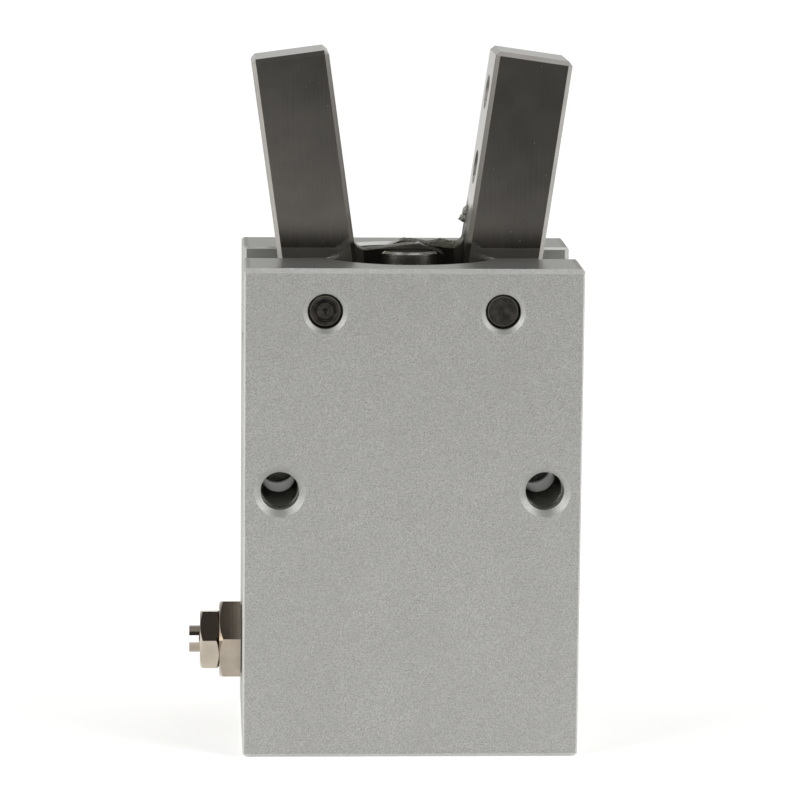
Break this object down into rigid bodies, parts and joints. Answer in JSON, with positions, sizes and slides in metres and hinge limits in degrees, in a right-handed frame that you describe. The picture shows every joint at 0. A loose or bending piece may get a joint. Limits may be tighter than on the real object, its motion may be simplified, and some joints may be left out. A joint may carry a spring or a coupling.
{
  "type": "pneumatic angular gripper",
  "caption": "Pneumatic gripper with two fingers that swing open on pins in a block body, driven by one piston inside, with a throttle needle on its side.",
  "frame": {"origin": "centre of the rear locating bore, in the plane of the body's bottom face", "axes": "+Z along the piston towards the finger tips, +X along the line of the two finger pivots with the throttle needle on the -X side, -Y out of the front face"},
  "size_m": [0.0355, 0.0236, 0.0638],
  "materials": {
    "body": "bead-blasted, clear hard anodised",
    "finger": "ground and hardened tool steel",
    "pivot_pin": "hardened, black oxide ends",
    "joint": "turned stainless steel",
    "rod": "ground stainless steel",
    "piston": "turned, clear anodised",
    "nut": "zinc plated",
    "seal": "black nitrile",
    "magnet": "rubber-bonded magnet",
    "bush": "oil-filled sintered bronze",
    "retainer": "stamped stainless steel",
    "bumper": "amber urethane",
    "cap": "turned, clear anodised",
    "clip": "phosphated spring steel",
    "throttle": "bright nickel plated brass"
  },
  "bodies": {
    "housing": {"body": "body", "left_pivot_pin": "pivot_pin", "right_pivot_pin": "pivot_pin", "rod_bush": "bush", "rod_seal": "seal", "seal_retainer": "retainer", "front_bumper": "bumper", "rear_bumper": "bumper", "rear_cap": "cap", "cap_o_ring": "seal", "cap_clip": "clip", "needle_bushing": "throttle", "bushing_gasket": "seal", "needle_locknut": "throttle"},
    "left_lever": {"left_finger": "finger"},
    "right_lever": {"right_finger": "finger"},
    "drive": {"rod_joint": "joint", "centre_pin": "pivot_pin", "piston_rod": "rod", "piston": "piston", "piston_nut": "nut", "piston_seal": "seal", "magnet_ring": "magnet"},
    "throttle_screw": {"needle": "throttle", "needle_o_ring": "seal"}
  },
  "joints": [
    {"name": "left_finger_swing", "type": "hinge", "parent": "housing", "child": "left_lever", "pos_m": [-0.008, 0, 0.041], "axis": [0, -1, 0], "range_deg": [-13, 7]},
    {"name": "right_finger_swing", "type": "hinge", "parent": "housing", "child": "right_lever", "pos_m": [0.008, 0, 0.041], "axis": [0, 1, 0], "range_deg": [-13, 7]},
    {"name": "piston_stroke", "type": "slide", "parent": "housing", "child": "drive", "axis": [0, 0, 1], "range_m": [-0.00183, 0.00099]},
    {"name": "throttle_turn", "type": "hinge", "parent": "housing", "child": "throttle_screw", "pos_m": [-0.0153, 0, 0.0084], "axis": [-1, 0, 0], "range_deg": [-1350, 1350]}
  ],
  "couplings": [
    {"joint": "right_finger_swing", "follows": "left_finger_swing", "ratio": 1},
    {"joint": "piston_stroke", "follows": "left_finger_swing", "m_per_rad": 0.0080822}
  ]
}
